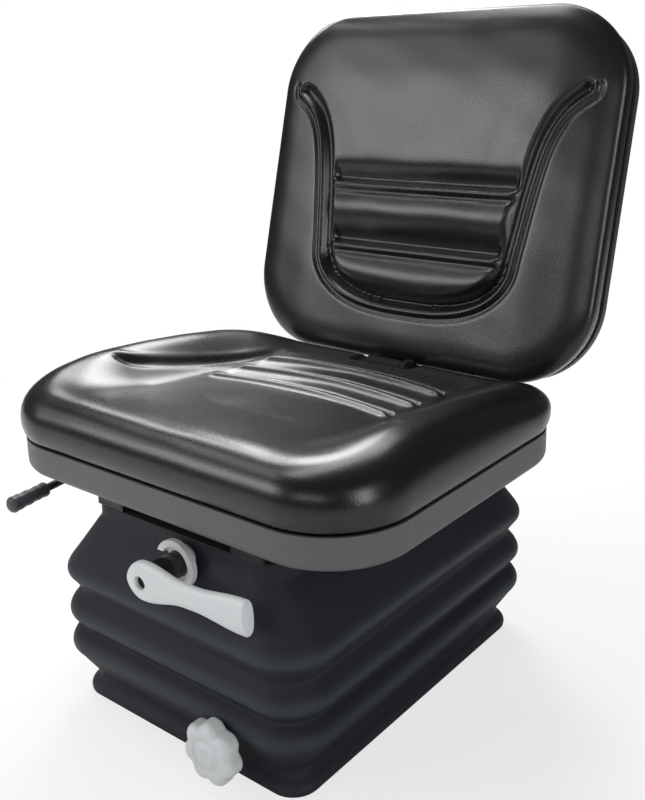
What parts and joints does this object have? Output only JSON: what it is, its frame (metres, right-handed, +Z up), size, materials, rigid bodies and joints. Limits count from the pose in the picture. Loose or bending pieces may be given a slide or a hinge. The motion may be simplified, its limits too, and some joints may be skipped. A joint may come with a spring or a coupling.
{
  "type": "tractor suspension seat",
  "caption": "Low tractor seat on a scissor suspension with rubber bellows, weight crank, height knob, fore-and-aft rails with a side lever, and a padded folding backrest.",
  "frame": {"origin": "centre of the four base bolt holes, on the underside of the base", "axes": "+Z up, the sitter faces -Y, +X towards the sitter's left"},
  "size_m": [0.483, 0.6006, 0.7212],
  "materials": {
    "black_steel": "satin black paint",
    "track_steel": "black phosphate, lightly greased",
    "zinc_steel": "bright zinc",
    "bush_plastic": "natural nylon",
    "black_rubber": "matte moulded rubber",
    "black_enamel": "gloss black",
    "light_grey_plastic": "satin moulded, light grey",
    "grip_plastic": "satin dark grey",
    "pan_plastic": "fine grained dark grey",
    "black_vinyl": "satin vinyl, black"
  },
  "bodies": {
    "base": {"base_frame": "black_steel", "base_roller_tracks": "track_steel", "lower_hinge_pins": "zinc_steel", "travel_buffers": "black_rubber", "knob_bush": "bush_plastic", "bellows": "black_rubber", "damper_tube": "black_enamel", "damper_lower_pin": "zinc_steel"},
    "height_knob": {"height_knob": "light_grey_plastic", "height_spindle": "zinc_steel"},
    "height_stop": {"height_stop": "track_steel"},
    "outer_arms": {"outer_scissor_arms": "black_steel", "upper_roller_shaft": "zinc_steel", "scissor_centre_pin": "zinc_steel"},
    "upper_rollers": {"upper_rollers": "bush_plastic"},
    "inner_arms": {"inner_scissor_arms": "black_steel", "lower_roller_shaft": "zinc_steel"},
    "lower_rollers": {"lower_rollers": "bush_plastic"},
    "upper": {"upper_frame": "black_steel", "upper_roller_tracks": "track_steel", "upper_hinge_pins": "zinc_steel", "crank_bush": "bush_plastic", "crank_bezel": "light_grey_plastic", "damper_upper_pin": "zinc_steel", "damper_rod": "zinc_steel", "lower_rail_right": "track_steel", "lower_rail_left": "track_steel", "tension_springs": "zinc_steel"},
    "spring_yoke": {"spring_yoke": "track_steel"},
    "crank": {"crank_spindle": "zinc_steel", "crank_hub": "black_enamel", "crank_handle": "light_grey_plastic", "crank_bolt": "zinc_steel"},
    "seat": {"upper_rail_right": "track_steel", "upper_rail_left": "track_steel", "front_cross_bar": "black_steel", "pan_bolts": "zinc_steel", "seat_pan": "pan_plastic", "seat_cushion": "black_vinyl", "backrest_bracket_lower": "black_steel", "backrest_hinge_pin": "zinc_steel", "bracket_bolts": "zinc_steel", "lever_pivot": "black_steel"},
    "slide_lever": {"slide_lever": "black_steel", "slide_lever_grip": "grip_plastic"},
    "backrest": {"backrest_bracket_upper": "black_steel", "backrest_shell": "pan_plastic", "backrest_cushion": "black_vinyl", "backrest_bolts": "zinc_steel"}
  },
  "joints": [
    {"name": "suspension_travel", "type": "slide", "parent": "base", "child": "upper", "axis": [0, 0, 1], "range_m": [-0.06, 0], "stiffness_N_per_m": 9000, "springref_m": 0.05, "deforming": ["bellows", "tension_springs"]},
    {"name": "outer_arm_swing", "type": "hinge", "parent": "base", "child": "outer_arms", "pos_m": [0, -0.135, 0.035], "axis": [1, 0, 0], "range_deg": [-12.5, 0]},
    {"name": "inner_arm_swing", "type": "hinge", "parent": "upper", "child": "inner_arms", "pos_m": [0, -0.135, 0.202], "axis": [1, 0, 0], "range_deg": [0, 12.5]},
    {"name": "upper_roller_spin", "type": "hinge", "parent": "outer_arms", "child": "upper_rollers", "pos_m": [0, 0.135, 0.202], "axis": [1, 0, 0], "range_deg": [0, 160]},
    {"name": "lower_roller_spin", "type": "hinge", "parent": "inner_arms", "child": "lower_rollers", "pos_m": [0, 0.135, 0.035], "axis": [1, 0, 0], "range_deg": [-160, 0]},
    {"name": "crank_turn", "type": "hinge", "parent": "upper", "child": "crank", "pos_m": [0.015, -0.2, 0.204], "axis": [0, 1, 0], "range_deg": [-960, 1200]},
    {"name": "yoke_slide", "type": "slide", "parent": "upper", "child": "spring_yoke", "axis": [0, -1, 0], "range_m": [-0.0108, 0.0135]},
    {"name": "height_knob_turn", "type": "hinge", "parent": "base", "child": "height_knob", "pos_m": [0.08, -0.23, 0.043], "axis": [0, 1, 0], "range_deg": [0, 1980]},
    {"name": "height_stop_slide", "type": "slide", "parent": "base", "child": "height_stop", "axis": [0, 1, 0], "range_m": [0, 0.0222]},
    {"name": "seat_slide", "type": "slide", "parent": "upper", "child": "seat", "axis": [0, 1, 0], "range_m": [-0.075, 0.075]},
    {"name": "slide_lever_swing", "type": "hinge", "parent": "seat", "child": "slide_lever", "pos_m": [-0.126, -0.07, 0.235], "axis": [0, 0, -1], "range_deg": [0, 12], "stiffness_Nm_per_rad": 2, "springref_deg": -8.59},
    {"name": "backrest_fold", "type": "hinge", "parent": "seat", "child": "backrest", "pos_m": [0, 0.167, 0.306], "axis": [1, 0, 0], "range_deg": [0, 60]}
  ],
  "couplings": [
    {"joint": "outer_arm_swing", "follows": "suspension_travel", "rad_per_m": 3.532},
    {"joint": "inner_arm_swing", "follows": "suspension_travel", "rad_per_m": -3.532},
    {"joint": "upper_roller_spin", "follows": "suspension_travel", "rad_per_m": -43.668},
    {"joint": "lower_roller_spin", "follows": "suspension_travel", "rad_per_m": 43.668},
    {"joint": "yoke_slide", "follows": "crank_turn", "m_per_rad": 0.00063662},
    {"joint": "height_stop_slide", "follows": "height_knob_turn", "m_per_rad": 0.00063662}
  ]
}
